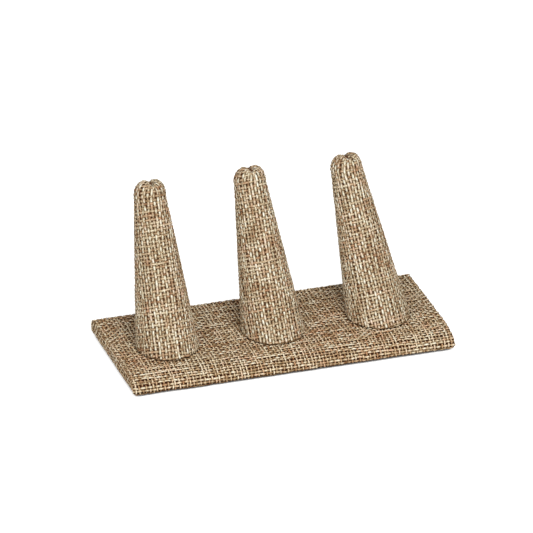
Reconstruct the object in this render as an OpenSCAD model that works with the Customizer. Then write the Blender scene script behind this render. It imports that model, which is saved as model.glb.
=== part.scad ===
// Ring display stand: a covered board with three leaning, covered fingers.
// Each finger is a turned wooden core in a woven sleeve, screwed on from below.
// The origin is the middle of the underside. +X is to the right, +Y is to the back.

/* [Base] */
// Width of the covered base, left to right
base_w = 151; // [130:1:220]
// Depth of the covered base, front to back
base_d = 66; // [56:1:90]
// Thickness of the board
board_t = 5.5; // [4:0.5:9]
// Depth of the rounded front nose of the board
nose_d = 15; // [8:1:20]
// Radius of the upper back edge of the board
back_r = 2; // [1:0.5:3.5]
// Radius of the lower edges of the board at its ends
under_r = 1.5; // [0.5:0.5:2.5]
// Thickness of the card that lines the underside
liner_t = 0.8; // [0.5:0.1:2]
// How far the card stops short of the edge of the base
liner_inset = 3; // [1:0.5:6]
// Corner radius of the card
liner_corner_r = 3; // [1:0.5:6]

/* [Woven cloth] */
// Thickness of the cloth
cloth_t = 1; // [0.6:0.1:1.6]
// Distance from one yarn to the next
yarn_pitch = 1.45; // [1.2:0.05:3]
// Depth of the grooves between the yarns
groove_depth = 0.35; // [0.1:0.05:0.5]
// Width of the cloth folded under the board
base_hem_w = 12; // [6:1:14]
// Width of the slit where two hems meet at a corner
mitre_gap = 0.3; // [0.1:0.1:0.8]
// Width of the cloth folded under the foot of a finger
finger_hem_w = 5; // [3:0.5:7]
// Width of the sewn lap up the back of a finger
lap_w = 4; // [2:0.5:8]
// How far the lap stands out from the sleeve
lap_h = 0.5; // [0.2:0.1:1]

/* [Fingers] */
// Distance from one finger to the next
finger_pitch = 49.5; // [42:0.5:70]
// Sideways place of the middle finger
row_x = -1.4; // [-4:0.1:4]
// Front to back place of the row of fingers
row_y = -3.9; // [-6:0.1:6]
// Radius of a covered finger at its foot
foot_r = 14.3; // [12:0.1:18]
// Radius of the round tip of a covered finger
tip_r = 7.4; // [6:0.1:10]
// Length of a covered finger along its axis, without the fold at its tip
finger_l = 74.8; // [55:0.1:95]
// Angle that the fingers lean back
lean_back = 18; // [0:1:25]
// Angle that the left finger leans to the left
lean_left = 0.8; // [0:0.1:5]
// Angle that the middle finger leans to the left
lean_middle = 3.2; // [0:0.1:5]
// Angle that the right finger leans to the left
lean_right = 6.7; // [0:0.1:8]

/* [Tip fold] */
// Place of the cleft to the right of the axis
cleft_x = 0.6; // [-3:0.1:3]
// Width of the cleft
cleft_w = 2; // [0.8:0.1:3]
// Depth of the cleft below the lobes beside it
cleft_depth = 1.2; // [0.8:0.1:1.3]
// How much the folded cloth thickens the tip on each side of the cleft
fold_h = 0.8; // [0.3:0.1:1.5]
// How much further the right lobe stands out
shoulder_h = 0.45; // [0:0.05:1]

/* [Screws] */
// Diameter of the screw shank
screw_d = 3.5; // [2.5:0.5:5]
// Diameter of the countersunk head
screw_head_d = 7; // [6:0.5:9]
// Length of a screw
screw_l = 25; // [18:1:35]
// Length of the pointed end
screw_point_l = 3; // [2:0.5:5]
// Gap round the shank where it passes through the board
clearance_gap = 0.3; // [0.1:0.1:0.8]
// Gap round the shank in the pilot hole of the core
pilot_gap = 0.1; // [0:0.05:0.3]
// Depth of the cross in the screw head
cross_depth = 1.2; // [0.6:0.1:1.8]
// Width of each slot of the cross
cross_w = 0.9; // [0.5:0.1:1.4]

/* [Hidden] */
$fn = 64;
eps = 0.01;

LEFT = 0;
MIDDLE = 1;
RIGHT = 2;
FINGERS = [LEFT, MIDDLE, RIGHT];
foot_x = [row_x - finger_pitch, row_x, row_x + finger_pitch];
side_lean = [-lean_left, -lean_middle, -lean_right];

// Heights from the table up
hem_z = liner_t;
board_z = hem_z + cloth_t;
board_top_z = board_z + board_t;
seat_z = board_top_z + cloth_t;

board_w = base_w - 2 * cloth_t;
board_d = base_d - 2 * cloth_t;

// Core of a finger: a cone that runs smoothly into a round tip
core_tip_r = tip_r - cloth_t;
core_tip_z = finger_l - tip_r;
cone_angle = acos(tip_r / norm([foot_r, core_tip_z])) - atan2(core_tip_z, foot_r);
core_foot_r = foot_r - cloth_t / cos(cone_angle);
tip_steps = 10;
pilot_depth = screw_l - board_t - 2 * cloth_t + 2;

cloth_color = [0.70, 0.61, 0.51];
board_color = [0.66, 0.52, 0.36];
core_color = [0.80, 0.67, 0.47];
card_color = [0.13, 0.12, 0.11];
steel_color = [0.72, 0.73, 0.75];

// Height of the yarns' round backs at a place u yarns along the cloth, from 0 in a groove
// to 1 on a yarn. Yarns lie at whole numbers.
function yarn_back(u) = sqrt(abs(cos(180 * u)));
yarn_points = 4;

// Outline of the board from its front lower edge over the top to its back lower edge.
// Places along it are measured in millimetres along the surface.
nose_steps = 24;
function nose_point(a) = [nose_d * (1 - cos(a)) - board_d / 2, board_t * sin(a)];
nose_angles = [for (i = [0 : nose_steps]) 90 * i / nose_steps];
nose_steps_l = [for (i = [0 : nose_steps - 1])
    norm(nose_point(nose_angles[i + 1]) - nose_point(nose_angles[i]))];
function sum_to(list, n) = n == 0 ? 0 : list[n - 1] + sum_to(list, n - 1);
nose_table = [for (i = [0 : nose_steps]) [sum_to(nose_steps_l, i), nose_angles[i]]];
nose_l = nose_table[nose_steps][0];
top_l = board_d - nose_d - back_r;
bend_l = PI / 2 * back_r;
wall_l = board_t - back_r;
wrap_l = nose_l + top_l + bend_l + wall_l;
wrap_yarns = round(wrap_l / yarn_pitch);

// Point on the board's outline at distance s, moved out by t
function on_nose(a, t) = nose_point(a) + t * unit([-cos(a) / nose_d, sin(a) / board_t]);
function on_bend(a, t) = [board_d / 2 - back_r + (back_r + t) * sin(a),
                          board_t - back_r + (back_r + t) * cos(a)];
function unit(v) = v / norm(v);
function wrap_point(s, t) =
    s < nose_l ? on_nose(lookup(s, nose_table), t) :
    s < nose_l + top_l ? [nose_d - board_d / 2 + s - nose_l, board_t + t] :
    s < nose_l + top_l + bend_l ? on_bend(90 * (s - nose_l - top_l) / bend_l, t) :
    [board_d / 2 + t, wrap_l - s];

wrap_u = [for (i = [0 : wrap_yarns * yarn_points]) i / yarn_points];
function cloth_point(u) =
    wrap_point(u * wrap_l / wrap_yarns, cloth_t - groove_depth * (1 - yarn_back(u)));

function board_outline() = concat(
    [for (a = nose_angles) on_nose(a, 0)],
    [for (a = [0 : 15 : 90]) on_bend(a, 0)],
    [[board_d / 2, 0], [-board_d / 2, 0]]);

function cover_outline() = concat(
    [for (u = wrap_u) cloth_point(u)],
    [for (a = [30 : 30 : 90]) [board_d / 2 + cloth_t * cos(a), -cloth_t * sin(a)]],
    [for (a = [90 : -30 : 30]) [-board_d / 2 - cloth_t * cos(a), -cloth_t * sin(a)]]);

// Outline of the base seen from above, with the yarns that turn down over its ends.
// It runs past the front and the back, so that it only shapes the ends.
end_u = [for (u = wrap_u) if (u > 0 && u * wrap_l / wrap_yarns < wrap_l - wall_l) u];
function end_yarns(side) = concat(
    [[side * base_w / 2, -base_d]],
    [for (u = end_u) [side * (base_w / 2 - groove_depth * (1 - yarn_back(u))),
                      wrap_point(u * wrap_l / wrap_yarns, 0)[0]]],
    [[side * base_w / 2, base_d]]);
function reversed(list) = [for (i = [len(list) - 1 : -1 : 0]) list[i]];
function plan_outline() = concat(end_yarns(1), reversed(end_yarns(-1)));

// Lays an outline in the YZ plane and runs it from left to right over width w
module run_across(w) {
    translate([-w / 2, 0, 0])
        rotate([90, 0, 90])
            linear_extrude(w)
                children();
}

// Places its children at the foot of finger i, upright
module at_foot(i, z) {
    translate([foot_x[i], row_y, z])
        children();
}

// Places its children in finger i's own frame, with +Z along the leaning finger
module on_axis(i) {
    at_foot(i, seat_z)
        rotate([-lean_back, 0, 0])
            rotate([0, side_lean[i], 0])
                children();
}

// Outline of the board seen from the front, moved out by t, with its rounded lower edges.
// It stands eps clear of the top and the underside, so that it only trims the ends.
function top_bend(side, t) = [for (a = t > 0 ? [90 : -22.5 : 0] : [0])
    [side * (board_w / 2 + t * cos(a)), board_top_z + eps + t * sin(a)]];
function under_bend(side, t) = [for (a = [0 : 15 : 90])
    [side * (board_w / 2 - under_r + (under_r + t) * cos(a)),
     board_z + under_r - eps - (under_r + t) * sin(a)]];
function end_outline(side, t) = concat(top_bend(side, t), under_bend(side, t));
function front_outline(t) = concat(end_outline(1, t), reversed(end_outline(-1, t)));

// Keeps what lies inside the board's front outline, moved out by t
module trim_ends(t) {
    intersection() {
        children();
        rotate([90, 0, 0])
            linear_extrude(2 * base_d, center = true)
                polygon(front_outline(t));
    }
}

module board_blank() {
    trim_ends(0)
        translate([0, 0, board_z])
            run_across(board_w)
                polygon(board_outline());
}

module cover_blank() {
    trim_ends(cloth_t)
        intersection() {
            translate([0, 0, board_z])
                run_across(base_w)
                    polygon(cover_outline());
            linear_extrude(2 * seat_z)
                polygon(plan_outline());
        }
}

// Opening in the hem that leaves the middle of the board bare underneath
module hem_window() {
    w = board_w - 2 * base_hem_w;
    d = board_d - 2 * base_hem_w;
    translate([-w / 2, -d / 2, 0])
        cube([w, d, board_z]);
}

// Slits where the front and back hems meet the end hems
module hem_mitres() {
    for (x = [-1, 1], y = [-1, 1])
        translate([x * board_w / 2, y * board_d / 2, hem_z])
            rotate([0, 0, x * y * 45])
                cube([base_hem_w * 3, mitre_gap, 2 * cloth_t - eps], center = true);
}

module screw_passages(r) {
    for (i = FINGERS)
        at_foot(i, 0)
            cylinder(h = seat_z + eps, r = r);
}

module base_board() {
    color(board_color)
        difference() {
            board_blank();
            screw_passages(screw_d / 2 + clearance_gap);
            for (i = FINGERS)
                at_foot(i, board_z)
                    screw_head(clearance_gap);
        }
}

module base_cover() {
    color(cloth_color)
        difference() {
            cover_blank();
            board_blank();
            hem_window();
            hem_mitres();
            screw_passages(screw_d / 2 + clearance_gap);
        }
}

module bottom_liner() {
    w = base_w - 2 * liner_inset;
    d = base_d - 2 * liner_inset;
    r = liner_corner_r;
    color(card_color)
        linear_extrude(liner_t)
            union() {
                square([w - 2 * r, d], center = true);
                square([w, d - 2 * r], center = true);
                for (x = [-1, 1], y = [-1, 1])
                    translate([x * (w / 2 - r), y * (d / 2 - r)])
                        circle(r);
            }
}

// Countersunk cone, grown by a gap for its seat in the board
module screw_head(gap) {
    head_h = (screw_head_d - screw_d) / 2;
    cylinder(h = head_h + gap, r1 = screw_head_d / 2 + gap, r2 = screw_d / 2);
}

module screw() {
    difference() {
        union() {
            screw_head(0);
            cylinder(h = screw_l - screw_point_l, d = screw_d);
            translate([0, 0, screw_l - screw_point_l])
                cylinder(h = screw_point_l, d1 = screw_d, d2 = 0.4);
        }
        for (a = [0, 90])
            rotate([0, 0, a])
                cube([screw_head_d * 0.6, cross_w, 2 * cross_depth], center = true);
    }
}

module finger_screws() {
    color(steel_color)
        for (i = FINGERS)
            at_foot(i, board_z)
                screw();
}

// Half outline of a bare core, which starts well below its cut foot
function core_outline() = concat(
    [[0, -core_foot_r], [core_foot_r * (1 + tan(cone_angle)), -core_foot_r]],
    [for (i = [0 : tip_steps])
        let (a = cone_angle + (90 - cone_angle) * i / tip_steps)
        [core_tip_r * cos(a), core_tip_z + core_tip_r * sin(a)]]);

module core_blank(i) {
    intersection() {
        on_axis(i)
            rotate_extrude()
                polygon(core_outline());
        at_foot(i, seat_z + cloth_t)
            translate([-finger_l, -finger_l, 0])
                cube(2 * finger_l);
    }
}

module finger_core(i) {
    color(core_color)
        difference() {
            core_blank(i);
            at_foot(i, seat_z)
                cylinder(h = pilot_depth, d = screw_d + 2 * pilot_gap);
        }
}

// Woven sleeve of a finger. Every ring of points follows the yarns round the finger,
// from the flat foot up the cone and over the folded tip.
sleeve_yarns = round(PI * (foot_r + tip_r) / yarn_pitch);
sleeve_points = 3;
ring_size = sleeve_yarns * sleeve_points;
ring_angles = [for (k = [0 : ring_size - 1]) -90 + 360 * k / ring_size];
ring_u = [for (k = [0 : ring_size - 1]) k / sleeve_points + 0.5];
lap_half_angle = lap_w / (foot_r + tip_r) * 180 / PI;

// Thickness of the sleeve along its side, at yarn u and angle a round the finger
function lap_rise(a) = lap_h * max(0, min(1, 2 * (lap_half_angle - abs(a - 90)) / lap_half_angle));
function side_cloth(u, a) = cloth_t - groove_depth * (1 - yarn_back(u)) + lap_rise(a);

// The folded tip: thicker cloth, fullest in the middle of the right lobe, and parted by a
// cleft that runs from front to back
lobe_angle = 42;
lobe_spread = 24;
cleft_start = 0.62;
cleft_end = 0.92;
function lobes(x, z) =
    fold_h * z + shoulder_h * sqrt(z) * exp(-pow((atan2(x, z) - lobe_angle) / lobe_spread, 2));
function cleft(x) = cleft_depth * exp(-pow(abs(tip_r * x - cleft_x) / (cleft_w / 2), 1.3));
function cleft_rise(z) =
    let (s = max(0, min(1, (z - cleft_start) / (cleft_end - cleft_start)))) s * s * (3 - 2 * s);
function tip_cloth(u, a, e) =
    side_cloth(u, a) - sin(e) * lap_rise(a)
    + lobes(cos(e) * cos(a), sin(e)) - cleft_rise(sin(e)) * cleft(cos(e) * cos(a));

function tip_point(u, a, e) =
    let (r = core_tip_r + tip_cloth(u, a, e))
    [r * cos(e) * cos(a), r * cos(e) * sin(a), core_tip_z + r * sin(e)];

// Point where a yarn that runs down the cone meets the seat, in finger i's own frame
function foot_point(i, u, a) =
    let (r0 = core_foot_r + side_cloth(u, a) / cos(cone_angle),
         tilt = cos(lean_back) * sin(side_lean[i]) * cos(a) + sin(lean_back) * sin(a),
         z = r0 * tilt / (cos(lean_back) * cos(side_lean[i]) + tan(cone_angle) * tilt),
         r = r0 - z * tan(cone_angle))
    [r * cos(a), r * sin(a), z];

function sleeve_rings(i) = concat(
    [for (k = [0 : ring_size - 1]) foot_point(i, ring_u[k], ring_angles[k])],
    [for (j = [0 : tip_steps - 1], k = [0 : ring_size - 1])
        tip_point(ring_u[k], ring_angles[k], cone_angle + (90 - cone_angle) * j / tip_steps)]);

function ring_sides(j) = [for (k = [0 : ring_size - 1])
    let (a = j * ring_size + k, b = j * ring_size + (k + 1) % ring_size)
    each [[a, b + ring_size, b], [a, a + ring_size, b + ring_size]]];

module sleeve_blank(i) {
    top = (tip_steps + 1) * ring_size;
    foot_middle = top + 1;
    last_ring = tip_steps * ring_size;
    on_axis(i)
        polyhedron(
            points = concat(sleeve_rings(i), [tip_point(0, 0, 90), [0, 0, 0]]),
            faces = concat(
                [for (j = [0 : tip_steps - 1]) each ring_sides(j)],
                [for (k = [0 : ring_size - 1])
                    [last_ring + k, top, last_ring + (k + 1) % ring_size]],
                [for (k = [0 : ring_size - 1]) [k, (k + 1) % ring_size, foot_middle]]));
}

module finger_cover(i) {
    color(cloth_color)
        difference() {
            sleeve_blank(i);
            core_blank(i);
            at_foot(i, seat_z - cloth_t)
                cylinder(h = 3 * cloth_t, r = foot_r - cloth_t - finger_hem_w);
        }
}

base_board();
base_cover();
bottom_liner();
finger_screws();
finger_core(LEFT);  // finger_core_left
finger_core(MIDDLE);  // finger_core_middle
finger_core(RIGHT);  // finger_core_right
finger_cover(LEFT);  // finger_cover_left
finger_cover(MIDDLE);  // finger_cover_middle
finger_cover(RIGHT);  // finger_cover_right
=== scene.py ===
import logging
import math
from dataclasses import dataclass, field, replace
from enum import Enum
from typing import Iterator, Sequence

import bpy
import numpy as np
from mathutils import Matrix, Vector


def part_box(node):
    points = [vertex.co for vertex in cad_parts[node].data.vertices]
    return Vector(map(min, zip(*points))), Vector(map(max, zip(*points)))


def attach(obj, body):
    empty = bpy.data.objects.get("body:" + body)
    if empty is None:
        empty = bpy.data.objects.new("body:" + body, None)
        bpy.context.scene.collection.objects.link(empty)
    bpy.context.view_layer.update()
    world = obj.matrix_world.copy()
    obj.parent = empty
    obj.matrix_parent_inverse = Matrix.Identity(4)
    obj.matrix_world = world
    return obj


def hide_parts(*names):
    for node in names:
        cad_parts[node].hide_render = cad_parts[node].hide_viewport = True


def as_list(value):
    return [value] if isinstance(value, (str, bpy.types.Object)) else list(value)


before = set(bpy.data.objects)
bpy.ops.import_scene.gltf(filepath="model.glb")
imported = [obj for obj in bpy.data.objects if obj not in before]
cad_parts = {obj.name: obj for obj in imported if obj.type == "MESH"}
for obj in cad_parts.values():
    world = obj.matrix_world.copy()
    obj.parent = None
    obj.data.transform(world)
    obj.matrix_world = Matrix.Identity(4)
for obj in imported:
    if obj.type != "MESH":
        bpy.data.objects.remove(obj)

# The covers of the stand are laid yarn by yarn: flat cloth is mapped onto the board and onto each
# finger, and each yarn rises and sinks on it where it crosses the others. Lengths are in
# millimetres until a mesh is made.

LOG = logging.getLogger("ring_display_stand")
MM = 0.001
BODY = "root"
QUARTER = math.pi / 2
UP = np.array([0.0, 0.0, 1.0])

Socket = bpy.types.NodeSocket
# What an input takes: a number, or the socket to link from
Given = float | Socket


class YarnSet(Enum):
    """The two sets of yarns of a plain weave."""

    MAIN = "main"
    CROSS = "cross"


@dataclass(frozen=True)
class Weave:
    """Sizes of the burlap, in millimetres.

    Attributes:
        main_pitch: Distance from one main yarn to the next.
        cross_pitch: Distance from one cross yarn to the next.
        thickness: Thickness of the cloth where two yarns cross.
        steps: Points along a yarn for each yarn that it crosses.
        main_width: Width of a main yarn.
        cross_width: Width of a cross yarn.
        wander: How far a yarn strays to its side.
        slub: Share by which a yarn swells and thins along its length.
        spread: Share by which the yarns differ in thickness.
        main_rise: How far a main yarn rises and sinks in the weave.
        cross_rise: How far a cross yarn does.
        stray: How unevenly the yarns rise and sink, as a share of their rise.
        ground: Depths of the ground sheet's two sides below the cloth's middle, as shares of its
            thickness.
    """

    main_pitch: float = 1.45
    cross_pitch: float = 1.68
    thickness: float = 1.0
    steps: int = 3
    main_width: float = 1.02
    cross_width: float = 0.8
    wander: float = 0.18
    slub: float = 0.3
    spread: float = 0.17
    main_rise: float = 0.25
    cross_rise: float = 0.25
    stray: float = 0.55
    ground: tuple[float, float] = (0.42, 0.49)

    @property
    def half(self) -> float:
        """Height of the cloth's middle above what it covers."""
        return self.thickness / 2

    def step(self, yarns: YarnSet) -> float:
        """Distance between two points along a yarn of one set."""
        crossed = self.cross_pitch if yarns is YarnSet.MAIN else self.main_pitch
        return crossed / self.steps

    def width(self, yarns: YarnSet) -> float:
        """Width of a yarn of one set."""
        return self.main_width if yarns is YarnSet.MAIN else self.cross_width

    def rise(self, yarns: YarnSet) -> float:
        """How far a yarn of one set rises and sinks in the weave."""
        return self.main_rise if yarns is YarnSet.MAIN else self.cross_rise


class NodeTree:
    """Small helper that adds and links the nodes of a tree."""

    def __init__(self, tree: bpy.types.NodeTree) -> None:
        """Wraps the geometry or shader tree to fill."""
        self.tree = tree

    def add(self, kind: str, inputs: dict | None = None, **settings: object) -> bpy.types.Node:
        """Adds a node.

        Args:
            kind: Blender's type name of the node.
            inputs: Input sockets by name or number, each with a value or the socket to link from.
            **settings: Properties of the node.

        Returns:
            The new node.
        """
        node = self.tree.nodes.new(kind)
        for name, value in settings.items():
            setattr(node, name, value)
        self.feed(node, inputs or {})
        return node

    def feed(self, node: bpy.types.Node, inputs: dict) -> None:
        """Sets and links a node's inputs.

        Args:
            node: The node.
            inputs: Input sockets by name or number, each with a value or the socket to link from.
        """
        for key, value in inputs.items():
            if isinstance(value, Socket):
                self.tree.links.new(value, node.inputs[key])
            else:
                node.inputs[key].default_value = value

    def math(self, operation: str, *values: Given) -> Socket:
        """Works out a sum, a product or another operation."""
        return self.add("ShaderNodeMath", dict(enumerate(values)), operation=operation).outputs[0]

    def vector(self, x: Given = 0.0, y: Given = 0.0, z: Given = 0.0) -> Socket:
        """Joins three numbers into a vector."""
        return self.add("ShaderNodeCombineXYZ", {0: x, 1: y, 2: z}).outputs[0]

    def part(self, vector: Socket, axis: int) -> Socket:
        """Takes one of a vector's three numbers."""
        return self.add("ShaderNodeSeparateXYZ", {0: vector}).outputs[axis]

    def noise(self, place: Socket, scale: float, detail: float, roughness: float = 0.5) -> Socket:
        """Adds a noise, with its scale, detail and roughness, and returns its value at a place."""
        inputs = {"Vector": place, "Scale": scale, "Detail": detail, "Roughness": roughness}
        return self.add("ShaderNodeTexNoise", inputs).outputs[0]

    def fit(self, value: Socket, low: Given, high: Given, start: Given = 0.0, end: Given = 1.0) -> Socket:
        """Maps a value from the range low to high onto the range start to end."""
        inputs = {"Value": value, "From Min": low, "From Max": high, "To Min": start, "To Max": end}
        return self.add("ShaderNodeMapRange", inputs).outputs[0]

    def mix(self, share: Given, first: object, second: object, blend: str = "MIX") -> Socket:
        """Mixes two colours, each given as a value or a socket, by a share of the second."""
        inputs = {0: share, 6: first, 7: second}
        return self.add("ShaderNodeMix", inputs, data_type="RGBA", blend_type=blend).outputs[2]

    def bump(self, height: Socket, strength: float, depth: float) -> Socket:
        """Turns a height into a normal, with its depth in millimetres."""
        inputs = {"Height": height, "Strength": strength, "Distance": depth * MM}
        return self.add("ShaderNodeBump", inputs).outputs[0]


def new_object(name: str, data: bpy.types.ID) -> bpy.types.Object:
    """Makes an object of a mesh, a lamp or a camera.

    Args:
        name: Name of the object.
        data: What it shows.

    Returns:
        The object, linked to the scene.
    """
    made = bpy.data.objects.new(name, data)
    bpy.context.scene.collection.objects.link(made)
    return made


def new_piece(name: str, mesh: bpy.types.Mesh) -> bpy.types.Object:
    """Makes a piece and logs it.

    Args:
        name: Name of the piece.
        mesh: Its mesh, in metres and in its place.

    Returns:
        The piece.
    """
    LOG.info("%s: %d faces", name, len(mesh.polygons))
    return new_object(name, mesh)


@dataclass
class YarnGuides:
    """Centre lines of yarns on the middle of the cloth, collected before they are swept.

    Attributes:
        weave: The cloth's sizes.
        yarns: Which set the lines belong to.
        places: Points along each yarn.
        lifts: Outward direction of the cloth at each point.
        numbers: The sweep's other attributes by name, each with one list of values for each yarn.
    """

    weave: Weave
    yarns: YarnSet
    places: list[np.ndarray] = field(default_factory=list)
    lifts: list[np.ndarray] = field(default_factory=list)
    numbers: dict[str, list[np.ndarray]] = field(
        default_factory=lambda: {"wave": [], "along": [], "gauge": [], "tone": []})

    def add(self, place: np.ndarray, lift: np.ndarray, wave: np.ndarray, gauge: np.ndarray,
            tone: float) -> None:
        """Adds one yarn.

        Args:
            place: Points along the yarn, in millimetres.
            lift: Outward direction of the cloth at each point.
            wave: Height of the yarn in the weave at each point, from -1 to 1.
            gauge: Share of the yarn's full width at each point.
            tone: A number that tells this yarn's shade from the others'.
        """
        if len(place) < 3:
            return
        # Yarns of different tones read the noises far apart
        apart = 1000 * tone
        step = np.linalg.norm(np.diff(place, axis=0), axis=1)
        along = np.concatenate([[0.0], np.cumsum(step)]) + apart
        self.places.append(place)
        self.lifts.append(lift)
        values = {"wave": wave, "along": along, "gauge": gauge, "tone": np.full(len(place), tone)}
        for key, value in values.items():
            self.numbers[key].append(value)

    def mesh(self, name: str) -> bpy.types.Mesh:
        """Turns the lines into a mesh of edges with the attributes that the sweep reads.

        Args:
            name: Name of the mesh.

        Returns:
            The mesh, in metres.
        """
        places = np.concatenate(self.places) * MM
        ends = np.cumsum([len(place) for place in self.places])
        first = np.setdiff1d(np.arange(len(places) - 1), ends - 1)
        mesh = bpy.data.meshes.new(name)
        mesh.from_pydata(places.tolist(), np.stack([first, first + 1], axis=1).tolist(), [])
        lift = mesh.attributes.new("lift", "FLOAT_VECTOR", "POINT")
        lift.data.foreach_set("vector", np.concatenate(self.lifts).astype(np.float32).ravel())
        for key, values in self.numbers.items():
            attribute = mesh.attributes.new(key, "FLOAT", "POINT")
            attribute.data.foreach_set("value", np.concatenate(values).astype(np.float32))
        return mesh


class YarnSweep:
    """Geometry tree that sweeps a flattened, uneven yarn along each guide line.

    Attributes:
        SIDES: Sides of a yarn's section.
        SLUB_LENGTH: Length of a thick or thin stretch, in millimetres.
        SLUB_SWING: Factor that takes the noise to the full range from thin to thick.
    """

    SIDES = 5
    SLUB_LENGTH = 5.0
    SLUB_SWING = 4.0

    def __init__(self, weave: Weave) -> None:
        """Builds the tree once.

        Args:
            weave: The cloth's sizes, which are the defaults of the tree's inputs.
        """
        self.tree = bpy.data.node_groups.new("yarn sweep", "GeometryNodeTree")
        self.sockets: dict[str, str] = {}
        self._declare(weave)
        self._build()

    def _declare(self, weave: Weave) -> None:
        """Args:
            weave: The cloth's sizes.
        """
        face = self.tree.interface
        inputs = (
            ("Guides", "Geometry", None),
            ("Width", "Float", weave.main_width * MM),
            ("Thickness", "Float", weave.half * MM),
            ("Wave Height", "Float", weave.main_rise * MM),
            ("Slub", "Float", weave.slub),
            ("Slub Length", "Float", self.SLUB_LENGTH),
            ("Seed", "Int", 1),
            ("Sides", "Int", self.SIDES),
            ("Material", "Material", None),
        )
        for name, kind, value in inputs:
            socket = face.new_socket(name, in_out="INPUT", socket_type=f"NodeSocket{kind}")
            if value is not None:
                socket.default_value = value
            self.sockets[name] = socket.identifier
        face.new_socket("Yarns", in_out="OUTPUT", socket_type="NodeSocketGeometry")

    def _build(self) -> None:
        """Fills the tree with its nodes."""
        nodes = self.nodes = NodeTree(self.tree)
        given = self.given = nodes.add("NodeGroupInput").outputs
        lift = self._named("lift", "FLOAT_VECTOR")
        rise = nodes.math("MULTIPLY", self._named("wave"), given["Wave Height"])
        shift = nodes.add("ShaderNodeVectorMath", {0: lift, "Scale": rise}, operation="SCALE").outputs[0]
        waved = nodes.add("GeometryNodeSetPosition", {"Geometry": given["Guides"], "Offset": shift})
        curve = nodes.add("GeometryNodeMeshToCurve", {0: waved.outputs[0]})
        upright = nodes.add("GeometryNodeSetCurveNormal", {0: curve.outputs[0], "Normal": lift}, mode="FREE")
        radius = nodes.add("GeometryNodeSetCurveRadius",
                           {0: upright.outputs[0], "Radius": self._gauge()})
        swept = nodes.add("GeometryNodeCurveToMesh",
                          {"Curve": radius.outputs[0], "Profile Curve": self._section(),
                           "Fill Caps": True})
        smooth = nodes.add("GeometryNodeSetShadeSmooth", {0: swept.outputs[0]})
        real = nodes.add("GeometryNodeRealizeInstances", {0: smooth.outputs[0]})
        dressed = nodes.add("GeometryNodeSetMaterial", {0: real.outputs[0], "Material": given["Material"]})
        nodes.add("NodeGroupOutput", {0: dressed.outputs[0]})

    def _named(self, name: str, kind: str = "FLOAT") -> Socket:
        """Reads a named attribute of the guides."""
        node = self.nodes.add("GeometryNodeInputNamedAttribute", {"Name": name}, data_type=kind)
        return node.outputs["Attribute"]

    def _gauge(self) -> Socket:
        """Makes the yarn swell and thin along its length.

        Returns:
            The radius factor.
        """
        nodes, given = self.nodes, self.given
        place = nodes.math("DIVIDE", self._named("along"), given["Slub Length"])
        inputs = {"Vector": nodes.vector(given["Seed"]), "W": place, "Scale": 1.0, "Detail": 2.0}
        noise = nodes.add("ShaderNodeTexNoise", inputs, noise_dimensions="4D").outputs[0]
        swing = nodes.math("MULTIPLY", nodes.math("SUBTRACT", noise, 0.5), self.SLUB_SWING)
        share = nodes.math("MULTIPLY_ADD", swing, given["Slub"], 1.0)
        return nodes.math("MULTIPLY", share, self._named("gauge"))

    def _section(self) -> Socket:
        """Makes the flattened section and keeps the place round it for the fibres.

        Returns:
            The section's curve.
        """
        nodes, given = self.nodes, self.given
        circle = nodes.add("GeometryNodeCurvePrimitiveCircle",
                           {"Resolution": given["Sides"], "Radius": 1.0}, mode="RADIUS")
        place = nodes.add("GeometryNodeInputPosition").outputs[0]
        kept = nodes.add("GeometryNodeStoreNamedAttribute",
                         {"Geometry": circle.outputs[0], "Name": "round", "Value": place},
                         data_type="FLOAT_VECTOR", domain="POINT")
        half = [nodes.math("MULTIPLY", given[name], 0.5) for name in ("Thickness", "Width")]
        size = nodes.vector(*half, 1.0)
        return nodes.add("GeometryNodeTransform", {"Geometry": kept.outputs[0], "Scale": size}).outputs[0]

    def run(self, guides: YarnGuides, name: str, seed: int, material: bpy.types.Material) -> bpy.types.Object:
        """Sweeps the yarns and makes them a plain mesh.

        Args:
            guides: The yarns' centre lines.
            name: Name of the piece.
            seed: Seed of the yarns' unevenness.
            material: The yarns' finish.

        Returns:
            The finished piece.
        """
        raw = new_object(name + "_guides", guides.mesh(name + "_guides"))
        modifier = raw.modifiers.new("sweep", "NODES")
        modifier.node_group = self.tree
        values = {"Width": guides.weave.width(guides.yarns) * MM, "Thickness": guides.weave.half * MM,
                  "Wave Height": guides.weave.rise(guides.yarns) * MM, "Seed": seed, "Material": material}
        for key, value in values.items():
            modifier[self.sockets[key]] = value
        graph = bpy.context.evaluated_depsgraph_get()
        mesh = bpy.data.meshes.new_from_object(raw.evaluated_get(graph), depsgraph=graph)
        raw.modifiers.clear()
        bpy.data.objects.remove(raw)
        mesh.name = name
        return new_piece(name, mesh)


def unit(vectors: np.ndarray) -> np.ndarray:
    """Scales the vectors in an array's last axis to length one."""
    return vectors / np.linalg.norm(vectors, axis=-1, keepdims=True)


def wander(rng: np.random.Generator, count: int, reach: float, wave: float = 24.0) -> np.ndarray:
    """Makes a smooth random drift along a yarn, from a slow part and a weaker, faster one.

    Args:
        rng: Source of random numbers.
        count: Number of points.
        reach: Typical size of the drift.
        wave: Points between two turns of the slow part.

    Returns:
        The drift at each point.
    """
    drift = np.zeros(count)
    for strength, length in ((1.0, wave), (0.6, wave / 3)):
        knots = max(4, int(count / length) + 3)
        values = rng.normal(0.0, reach * strength, knots)
        place = np.linspace(0, knots - 1.001, count)
        low = place.astype(int)
        share = (1 - np.cos(math.pi * (place - low))) / 2
        drift += values[low] * (1 - share) + values[low + 1] * share
    return drift


def uneven(rng: np.random.Generator, wave: np.ndarray, stray: float) -> np.ndarray:
    """Makes a yarn's height in the weave, from -1 to 1, stray by a typical size."""
    return np.clip(wave + wander(rng, len(wave), stray, 12.0), -1, 1)


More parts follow.
